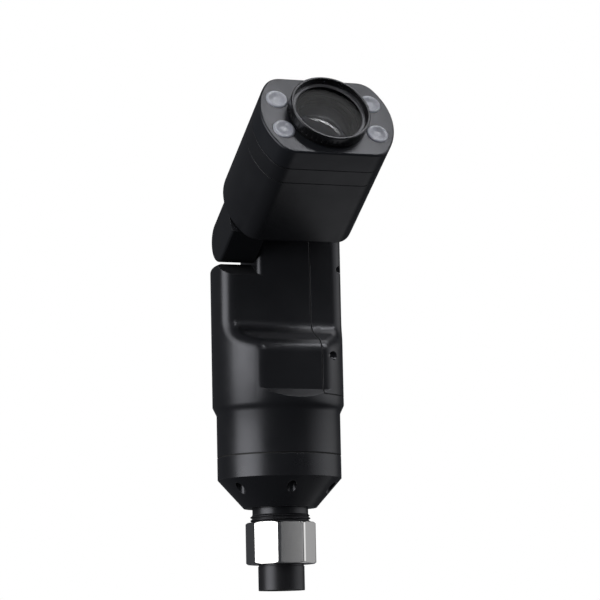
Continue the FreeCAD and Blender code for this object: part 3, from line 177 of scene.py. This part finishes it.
# Wear grows as the rounded normal leaves the flat one, by their dot product.
WEAR_START, WEAR_END = 0.995, 0.90
# Dust grows with the upward part of the normal.
DUST_START, DUST_END = 0.70, 0.85
DUST_ROUGHNESS = 0.80


def worn_colour(material, base, worn, amount):
    """Base colour that lightens in patches where an edge is rubbed."""
    place = add_node(material, "ShaderNodeNewGeometry")
    turn = add_node(material, "ShaderNodeVectorMath", operation="DOT_PRODUCT")
    join(material, soft_edges(material, WEAR_RADIUS), turn.inputs[0])
    join(material, place.outputs["Normal"], turn.inputs[1])
    edge = remap(material, turn.outputs["Value"], WEAR_START, WEAR_END, 0.0, amount)
    patches = spread(material, object_noise(material, 420.0), 0.3, 1.0)
    return blend_colours(material, combine(material, "MULTIPLY", edge, patches), base, worn)


def dusty_tops(material, roughness):
    """Roughness that rises where a face points up and dust settles on it."""
    place = add_node(material, "ShaderNodeTexCoord")
    split = add_node(material, "ShaderNodeSeparateXYZ")
    join(material, place.outputs["Normal"], split.inputs[0])
    dust = remap(material, split.outputs["Z"], DUST_START, DUST_END, 0.0, DUST_ROUGHNESS)
    return combine(material, "MAXIMUM", roughness, dust)


def anodised(name, shade, roughness, turned=False, grain=0.04 * MM, wear=0.55):
    """Black anodised aluminium: blasted where milled, fine rings where turned."""
    material, shader = new_material(name, shade, roughness, Specular_IOR_Level=ANODISED_LEVEL,
                                    Specular_Tint=COOL_GLEAM)
    lighter = tuple(min(1.0, c * 1.35 + 0.001) for c in shade)
    cloud = object_noise(material, 26.0)
    base = blend_colours(material, cloud, shade, lighter)
    join(material, worn_colour(material, base, RUBBED_BLACK, wear), shader.inputs["Base Color"])
    smear = spread(material, object_noise(material, 70.0), roughness - 0.03, roughness + 0.05)
    join(material, dusty_tops(material, smear), shader.inputs["Roughness"])
    if turned:
        height = object_noise(material, 9000.0, stretch=(0.01, 0.01, 1.0), detail=3.0)
    else:
        height = object_noise(material, 5200.0, detail=2.0)
    bump(material, shader, height, strength=0.22, distance=grain,
         normal=soft_edges(material, 0.4 * MM))
    return material


def polished(name, colour, roughness):
    """Bright plated metal with faint upright polishing lines and soft corners."""
    material, shader = new_material(name, colour, roughness, metallic=1.0)
    lines = object_noise(material, 5000.0, stretch=(1.0, 1.0, 0.02), detail=3.0)
    join(material, spread(material, lines, roughness * 0.8, roughness * 1.5),
         shader.inputs["Roughness"])
    bump(material, shader, lines, strength=0.08, distance=0.02 * MM,
         normal=soft_edges(material, 0.7 * MM))
    return material


def machined(name, colour, roughness):
    """Bare metal with tool marks."""
    material, shader = new_material(name, colour, roughness, metallic=1.0)
    marks = object_noise(material, 3200.0)
    darker = tuple(c * 0.82 for c in colour)
    join(material, blend_colours(material, marks, darker, colour), shader.inputs["Base Color"])
    join(material, spread(material, marks, roughness - 0.06, roughness + 0.1),
         shader.inputs["Roughness"])
    bump(material, shader, marks, strength=0.2, distance=0.03 * MM,
         normal=soft_edges(material, 0.3 * MM))
    return material


def moulded(name, colour, roughness):
    """Moulded plastic or rubber with a fine grain."""
    material, shader = new_material(name, colour, roughness)
    grain = object_noise(material, 2600.0)
    lighter = tuple(min(1.0, c * 1.25 + 0.002) for c in colour)
    join(material, blend_colours(material, object_noise(material, 60.0), colour, lighter),
         shader.inputs["Base Color"])
    join(material, spread(material, grain, roughness - 0.05, roughness + 0.07),
         shader.inputs["Roughness"])
    bump(material, shader, grain, strength=0.3, distance=0.03 * MM)
    return material


def circuit_board(name):
    """Green solder mask over copper tracks."""
    track_edge = 0.12
    material, shader = new_material(name, (0.02, 0.12, 0.05), 0.35)
    place = add_node(material, "ShaderNodeTexCoord")
    tracks = add_node(material, "ShaderNodeTexVoronoi", Scale=420.0, distance="MANHATTAN",
                      feature="DISTANCE_TO_EDGE")
    join(material, place.outputs["Object"], tracks.inputs["Vector"])
    line = remap(material, tracks.outputs["Distance"], 0.0, track_edge)
    join(material, blend_colours(material, line, (0.05, 0.26, 0.10), (0.015, 0.10, 0.04)),
         shader.inputs["Base Color"])
    bump(material, shader, line, strength=0.2, distance=0.05 * MM)
    return material


def clear_glass(name, tint, glare, clear=1.0):
    """Coated glass; glare is how much of plain glass's reflection the coating leaves."""
    polish = 0.01
    material, shader = new_material(name, tint, polish, Transmission_Weight=clear, IOR=1.5,
                                    Specular_Tint=(glare, glare, glare, 1.0))
    join(material, spread(material, object_noise(material, 900.0), polish, polish + 0.03),
         shader.inputs["Roughness"])
    return material


def frosted(name):
    """Frosted clear plastic of the lamp lenses."""
    material, shader = new_material(name, (0.50, 0.52, 0.60), 0.34, Transmission_Weight=0.30,
                                    IOR=1.49, Coat_Weight=0.6, Coat_Roughness=0.15)
    cloud = object_noise(material, 700.0)
    join(material, blend_colours(material, cloud, (0.36, 0.38, 0.45), (0.70, 0.72, 0.80)),
         shader.inputs["Base Color"])
    bump(material, shader, object_noise(material, 1500.0), strength=0.7, distance=0.20 * MM)
    return material


def phosphor(name):
    """Yellow phosphor square of a lamp, switched off."""
    material, shader = new_material(name, (0.85, 0.72, 0.18), 0.5)
    cells = object_noise(material, 3000.0)
    join(material, blend_colours(material, cells, (0.75, 0.60, 0.12), (0.92, 0.82, 0.30)),
         shader.inputs["Base Color"])
    return material


def make_materials():
    """One material per slot of the record, and some for pieces with a finish of their own."""
    return {
        "black_anodised": anodised("black anodised", ANODISED_BLACK, 0.31),
        "black_turned": anodised("black anodised, turned", ANODISED_BLACK, 0.29, True),
        "black_face": anodised("black anodised, face", (0.0085, 0.0094, 0.0118), 0.34, wear=0.05),
        "black_tube": anodised("black tube", (0.0110, 0.0110, 0.0120), 0.36, True),
        "bright_nut": polished("bright nut", (0.80, 0.79, 0.78), 0.10),
        "plain_steel": machined("plain steel", (0.56, 0.56, 0.57), 0.32),
        "screw_steel": machined("screw steel", (0.48, 0.48, 0.49), 0.26),
        "gear_brass": machined("gear brass", (0.72, 0.53, 0.22), 0.28),
        "bronze_bush": machined("bronze bush", (0.50, 0.30, 0.15), 0.45),
        "seal_rubber": moulded("seal rubber", (0.008, 0.008, 0.008), 0.62),
        "black_plastic": moulded("black plastic", (0.02, 0.02, 0.02), 0.45),
        "board_green": circuit_board("circuit board"),
        "chip_black": moulded("chip black", (0.012, 0.012, 0.013), 0.40),
        "led_frost": frosted("frosted lamp lens"),
        "led_chip": phosphor("lamp phosphor"),
        "lens_glass": clear_glass("lens glass", (0.90, 0.92, 0.97), 0.05),
        "front_coated": clear_glass("coated front lens", (0.05, 0.05, 0.06), 0.6, clear=0.3),
        "filter_coated": clear_glass("coated filter glass", (0.93, 0.94, 0.95), 0.30),
        "filter_black": anodised("filter black", (0.0030, 0.0030, 0.0033), 0.24,
                                 grain=0.02 * MM, wear=0.2),
        "keeper_grey": anodised("keeper grey", (0.075, 0.075, 0.080), 0.30),
        "inner_black": moulded("inner black", (0.006, 0.006, 0.006), 0.7),
    }


# ---------------------------------------------------------------- CAD pieces
OWN_FINISH = {"end_cap": "black_turned", "threaded_stub": "black_turned",
              "front_bezel": "black_face", "filter_glass": "filter_coated"}
CRISP_ANGLE = math.radians(28.0)
WELD_DISTANCE = 1e-6


def smooth_by_angle():
    """A node group that welds doubled points and shades smooth below CRISP_ANGLE."""
    group = bpy.data.node_groups.new("smooth by angle", "GeometryNodeTree")
    group.interface.new_socket("Geometry", in_out="INPUT", socket_type="NodeSocketGeometry")
    group.interface.new_socket("Geometry", in_out="OUTPUT", socket_type="NodeSocketGeometry")
    start = group.nodes.new("NodeGroupInput")
    end = group.nodes.new("NodeGroupOutput")
    weld = group.nodes.new("GeometryNodeMergeByDistance")
    weld.inputs["Distance"].default_value = WELD_DISTANCE
    smooth = group.nodes.new("GeometryNodeSetShadeSmooth")
    angle = group.nodes.new("GeometryNodeInputMeshEdgeAngle")
    compare = group.nodes.new("FunctionNodeCompare")
    compare.data_type = "FLOAT"
    compare.operation = "GREATER_THAN"
    compare.inputs[1].default_value = CRISP_ANGLE
    store = group.nodes.new("GeometryNodeStoreNamedAttribute")
    store.data_type = "BOOLEAN"
    store.domain = "EDGE"
    store.inputs["Name"].default_value = "sharp_edge"
    value = next(s for s in store.inputs if s.name == "Value" and s.type == "BOOLEAN")
    links = group.links
    links.new(start.outputs[0], weld.inputs["Geometry"])
    links.new(weld.outputs["Geometry"], smooth.inputs["Geometry"])
    links.new(smooth.outputs["Geometry"], store.inputs["Geometry"])
    links.new(angle.outputs["Unsigned Angle"], compare.inputs[0])
    links.new(compare.outputs["Result"], value)
    links.new(store.outputs["Geometry"], end.inputs[0])
    return group


def dress_nodes(materials):
    """Gives every CAD node its material and smooth shading with crisp edges."""
    shading = smooth_by_angle()
    for entry in frame["record"]["subparts"]:
        name = entry["node"]
        piece = NODES[name]
        piece.data.materials.clear()
        piece.data.materials.append(materials[OWN_FINISH.get(name, entry["material_slot"])])
        smooth = piece.modifiers.new("smooth", "NODES")
        smooth.node_group = shading


# ---------------------------------------------------------------- remade pieces
ON_AXIS = 1e-9
THREAD_SHARP_ANGLE = math.radians(40.0)
LENS_SHARP_ANGLE = math.radians(30.0)
LAMP_STEPS, LENS_STEPS = 48, 128


def mesh_object(name, builder):
    """Makes an object from a mesh that builder fills in."""
    mesh = bpy.data.meshes.new(name)
    work = bmesh.new()
    builder(work)
    bmesh.ops.recalc_face_normals(work, faces=work.faces)
    work.to_mesh(mesh)
    work.free()
    for polygon in mesh.polygons:
        polygon.use_smooth = True
    piece = bpy.data.objects.new(name, mesh)
    bpy.context.scene.collection.objects.link(piece)
    return piece


def finish_piece(piece, body, material, replaced):
    """Puts a remade piece on its body, in place of one CAD node."""
    piece.data.materials.append(material)
    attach(piece, body)
    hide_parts(replaced)


def turned_piece(name, profile, centre, steps):
    """A closed ring or dome turned about the lens axis from an (r, height) outline."""
    def build(work):
        rings = []
        for radius, height in profile:
            middle = centre + LENS_AXIS * height
            if radius < ON_AXIS:
                rings.append([work.verts.new(middle)])
                continue
            ring = []
            for step in range(steps):
                turn = 2 * math.pi * step / steps
                outwards = HEAD_X * math.cos(turn) + HEAD_UP * math.sin(turn)
                ring.append(work.verts.new(middle + outwards * radius))
            rings.append(ring)
        for first, second in zip(rings, rings[1:]):
            for step in range(steps):
                after = (step + 1) % steps
                corners = (first[step % len(first)], first[after % len(first)],
                           second[after % len(second)], second[step % len(second)])
                unique = list(dict.fromkeys(corners))
                if len(unique) > 2:
                    work.faces.new(unique)

    return mesh_object(name, build)


def add_threaded_stub(materials):
    """The stub with its real helical thread in place of the CAD rings."""
    low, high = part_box("threaded_stub")
    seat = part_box("end_cap")[0][2]
    bore = 11.0 * MM
    crest = high[0]
    root = crest - 1.1 * MM
    neck = crest - 1.35 * MM
    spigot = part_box("stub_lock_ring")[1][0] - 5.5 * MM
    pitch = 2.0 * MM
    root_share, flank_share = 0.12, 0.70
    thread_low, fade_in = low[2] + 0.4 * MM, 0.8 * MM
    thread_high, fade_out = seat - 4.1 * MM, 0.9 * MM
    neck_low = thread_high + 0.2 * MM
    neck_high = seat - 0.3 * MM
    steps = 96
    rows_per_pitch = 10
    rows = int((thread_high - low[2]) / pitch * rows_per_pitch)

    def clamp(share):
        return min(1.0, max(0.0, share))

    def thread_radius(height, turn):
        phase = ((height - low[2]) / pitch - turn / (2 * math.pi)) % 1.0
        rise = 1.0 - abs(phase * 2 - 1)
        share = clamp((rise - root_share) / flank_share)
        share *= clamp((height - thread_low) / fade_in)
        share *= clamp((thread_high - height) / fade_out)
        return root + (crest - root) * share

    def build(work):
        def ring_at(height, radius_at):
            ring = []
            for step in range(steps):
                turn = 2 * math.pi * step / steps
                radius = radius_at(turn)
                ring.append(work.verts.new(
                    (radius * math.cos(turn), radius * math.sin(turn), height)))
            return ring

        rings = [ring_at(low[2], lambda turn: bore)]
        for row in range(rows + 1):
            height = low[2] + (thread_high - low[2]) * row / rows
            rings.append(ring_at(height, lambda turn, height=height: thread_radius(height, turn)))
        for radius, height in ((neck, neck_low), (neck, neck_high), (neck, seat),
                               (spigot, seat), (spigot, high[2]), (bore, high[2])):
            rings.append(ring_at(height, lambda turn, radius=radius: radius))
        rings.append(rings[0])
        for first, second in zip(rings, rings[1:]):
            for step in range(steps):
                after = (step + 1) % steps
                work.faces.new((first[step], first[after], second[after], second[step]))

    piece = mesh_object("stub_thread", build)
    piece.data.set_sharp_from_angle(angle=THREAD_SHARP_ANGLE)
    finish_piece(piece, "housing", materials["black_turned"], "threaded_stub")


def round_piece(name):
    """Base centre, radius and depth of a round CAD piece that faces along the lens axis."""
    places = [vertex.co for vertex in NODES[name].data.vertices]
    spans = []
    for axis in (HEAD_X, HEAD_UP, LENS_AXIS):
        values = [place.dot(axis) for place in places]
        spans.append((min(values), max(values)))
    across, upwards, along = spans
    base = HEAD_X * (sum(across) / 2) + HEAD_UP * (sum(upwards) / 2) + LENS_AXIS * along[0]
    return base, (across[1] - across[0]) / 2, along[1] - along[0]


def add_lamp_optics(materials):
    """Each lamp's lens: a rim, a rounded shoulder and a dished middle."""
    rim_gap = 0.05 * MM
    shoulder_share = 0.80
    shoulder_drop = 1.15 * MM
    shoulder_rise = 0.95 * MM
    shoulder_steps = 8
    dish_depth = 1.0 * MM
    dish_steps = 10
    dish_flatness = 1.3
    dish_power = 1.5
    for index in range(1, 5):
        node = "led_lens_%d" % index
        base, radius, depth = round_piece(node)
        rim = radius - rim_gap
        shoulder = rim * shoulder_share
        rim_height = depth - shoulder_drop
        top = rim_height + shoulder_rise
        profile = [(0.0, 0.0), (rim, 0.0), (rim, rim_height)]
        for step in range(1, shoulder_steps + 1):
            turn = math.pi / 2 * step / shoulder_steps
            profile.append((shoulder + (rim - shoulder) * math.cos(turn),
                            rim_height + shoulder_rise * math.sin(turn)))
        for step in range(1, dish_steps + 1):
            share = step / dish_steps
            turn = math.pi / 2 * min(1.0, share * dish_flatness)
            dish = dish_depth * math.sin(turn) ** dish_power
            profile.append((shoulder * (1 - share), top - dish))
        piece = turned_piece("lamp_optic_%d" % index, profile, base, LAMP_STEPS)
        finish_piece(piece, "head", materials["led_frost"], node)


def add_front_lens(materials):
    """The front lens turned finely, so that no facets show in its curve."""
    edge_height = 2.0 * MM
    arc_steps = 24
    base, radius, depth = round_piece("front_lens")
    bulge = depth - edge_height
    dome = (radius ** 2 + bulge ** 2) / (2 * bulge)
    widest = math.asin(radius / dome)
    profile = [(0.0, 0.0), (radius, 0.0)]
    for step in range(arc_steps + 1):
        turn = widest * (1 - step / arc_steps)
        profile.append((dome * math.sin(turn), depth - dome + dome * math.cos(turn)))
    piece = turned_piece("front_lens_dome", profile, base, LENS_STEPS)
    piece.data.set_sharp_from_angle(angle=LENS_SHARP_ANGLE)
    finish_piece(piece, "head", materials["front_coated"], "front_lens")


# ---------------------------------------------------------------- stage
CAMERA_DISTANCE = 1.6439
CAMERA_HEIGHT = -0.0516
CAMERA_AZIMUTH = math.radians(-19.53)
CAMERA_YAW = math.radians(0.51)
CAMERA_PITCH = math.radians(7.90)
CAMERA_ROLL = math.radians(-1.20)
CLIP_START = 0.05
SENSOR_WIDTH = 36.0
FOCAL_LENGTH = 162.8
FLOOR_DROP = 1.2
FLOOR_WIDTH = 60.0
FLOOR_GLOW = 0.72
WORLD_GLOW = 0.06


def add_camera():
    ahead = Vector((-math.sin(CAMERA_AZIMUTH), math.cos(CAMERA_AZIMUTH), 0.0))
    side = Vector((math.cos(CAMERA_AZIMUTH), math.sin(CAMERA_AZIMUTH), 0.0))
    level = ahead * math.cos(CAMERA_YAW) + side * math.sin(CAMERA_YAW)
    right = side * math.cos(CAMERA_YAW) - ahead * math.sin(CAMERA_YAW)
    forward = level * math.cos(CAMERA_PITCH) + Vector((0, 0, math.sin(CAMERA_PITCH)))
    up = right.cross(forward)
    rolled_right = right * math.cos(CAMERA_ROLL) + up * math.sin(CAMERA_ROLL)
    rolled_up = up * math.cos(CAMERA_ROLL) - right * math.sin(CAMERA_ROLL)
    place = -ahead * CAMERA_DISTANCE
    place.z = CAMERA_HEIGHT
    data = bpy.data.cameras.new("camera")
    data.lens = FOCAL_LENGTH
    data.sensor_width = SENSOR_WIDTH
    data.clip_start = CLIP_START
    camera = bpy.data.objects.new("camera", data)
    turn = Matrix((rolled_right, rolled_up, -forward)).transposed().to_4x4()
    camera.matrix_world = Matrix.Translation(place) @ turn
    bpy.context.scene.collection.objects.link(camera)
    bpy.context.scene.camera = camera


def towards(azimuth, elevation):
    """Direction at degrees from -Y towards +X and degrees above the horizon."""
    turn = math.radians(azimuth)
    rise = math.radians(elevation)
    return Vector((math.sin(turn) * math.cos(rise), -math.cos(turn) * math.cos(rise),
                   math.sin(rise)))


def add_softbox(name, away, distance, size, power, spread_angle=180.0, along=None):
    """A soft light that faces the object, its width level or along a direction."""
    data = bpy.data.lights.new(name, "AREA")
    data.shape = "RECTANGLE"
    data.size, data.size_y = size
    data.energy = power
    data.spread = math.radians(spread_angle)
    if along is None:
        along = Vector((0, 0, 1)).cross(away)
    across = (along - away * along.dot(away)).normalized()
    turn = Matrix((across, away.cross(across), away)).transposed().to_4x4()
    light = bpy.data.objects.new(name, data)
    light.matrix_world = Matrix.Translation(BODY_CENTRE + away * distance) @ turn
    light.visible_camera = False
    bpy.context.scene.collection.objects.link(light)


def add_lights():
    """Large boxes left, right, above and below, and small ones for the glass, nut and lens."""
    add_softbox("key_left", towards(-79.0, 8.0), distance=1.5, size=(1.5, 1.7), power=7.4,
                spread_angle=90.0)
    add_softbox("top_back", towards(100.0, 66.0), distance=1.4, size=(1.0, 0.9), power=0.5,
                spread_angle=60.0)
    add_softbox("fill_right", towards(76.0, 8.0), distance=1.9, size=(3.0, 1.8), power=4.0,
                spread_angle=90.0)
    add_softbox("strip_top", towards(38.0, 57.0), distance=1.4, size=(1.25, 0.13), power=0.78,
                spread_angle=60.0, along=towards(49.0, 29.0) - towards(-3.0, 66.0))
    add_softbox("bounce_low", towards(132.0, -56.0), distance=1.2, size=(0.9, 0.9), power=0.8)
    add_softbox("glass_fill", towards(41.8, 63.5), distance=1.5, size=(0.16, 0.16), power=0.055)
    add_softbox("nut_glow", towards(22.5, -1.6), distance=1.5, size=(0.14, 0.16), power=0.03)
    add_softbox("lens_glint", towards(-3.0, 38.0), distance=1.6, size=(0.30, 0.20), power=0.12,
                spread_angle=40.0)


def add_world():
    """White to the camera, and a dim grey to everything that reflects it."""
    world = bpy.data.worlds.new("studio")
    world.use_nodes = True
    tree = world.node_tree
    tree.nodes.clear()
    ray = tree.nodes.new("ShaderNodeLightPath")
    dim = tree.nodes.new("ShaderNodeBackground")
    dim.inputs["Color"].default_value = (0.80, 0.84, 0.92, 1.0)
    dim.inputs["Strength"].default_value = WORLD_GLOW
    white = tree.nodes.new("ShaderNodeBackground")
    white.inputs["Color"].default_value = (1.0, 1.0, 1.0, 1.0)
    white.inputs["Strength"].default_value = 1.0
    mix = tree.nodes.new("ShaderNodeMixShader")
    out = tree.nodes.new("ShaderNodeOutputWorld")
    tree.links.new(ray.outputs["Is Camera Ray"], mix.inputs[0])
    tree.links.new(dim.outputs[0], mix.inputs[1])
    tree.links.new(white.outputs[0], mix.inputs[2])
    tree.links.new(mix.outputs[0], out.inputs[0])
    bpy.context.scene.world = world


def add_floor():
    """A plain pale floor, well below the pole tube, that neither lights nor shades the object."""
    level = CAD_LOW.z - FLOOR_DROP
    half = FLOOR_WIDTH / 2

    def build(work):
        corners = [work.verts.new((x, y, level))
                   for x, y in ((-half, -half), (half, -half), (half, half), (-half, half))]
        work.faces.new(corners)

    floor = mesh_object("floor", build)
    material, shader = new_material("pale floor", (0.80, 0.80, 0.80), 0.8,
                                    Emission_Color=(0.95, 0.96, 1.0, 1.0),
                                    Emission_Strength=FLOOR_GLOW)
    join(material, blend_colours(material, object_noise(material, 3.0), (0.78, 0.78, 0.78),
                                 (0.82, 0.82, 0.82)), shader.inputs["Base Color"])
    floor.data.materials.append(material)
    floor.visible_diffuse = False
    floor.visible_glossy = False
    floor.visible_transmission = False
    floor.visible_shadow = False


def set_colours():
    settings = bpy.context.scene.view_settings
    settings.view_transform = "Standard"
    settings.look = "None"


materials = make_materials()
dress_nodes(materials)
add_threaded_stub(materials)
add_lamp_optics(materials)
add_front_lens(materials)
add_camera()
add_lights()
add_world()
add_floor()
set_colours()
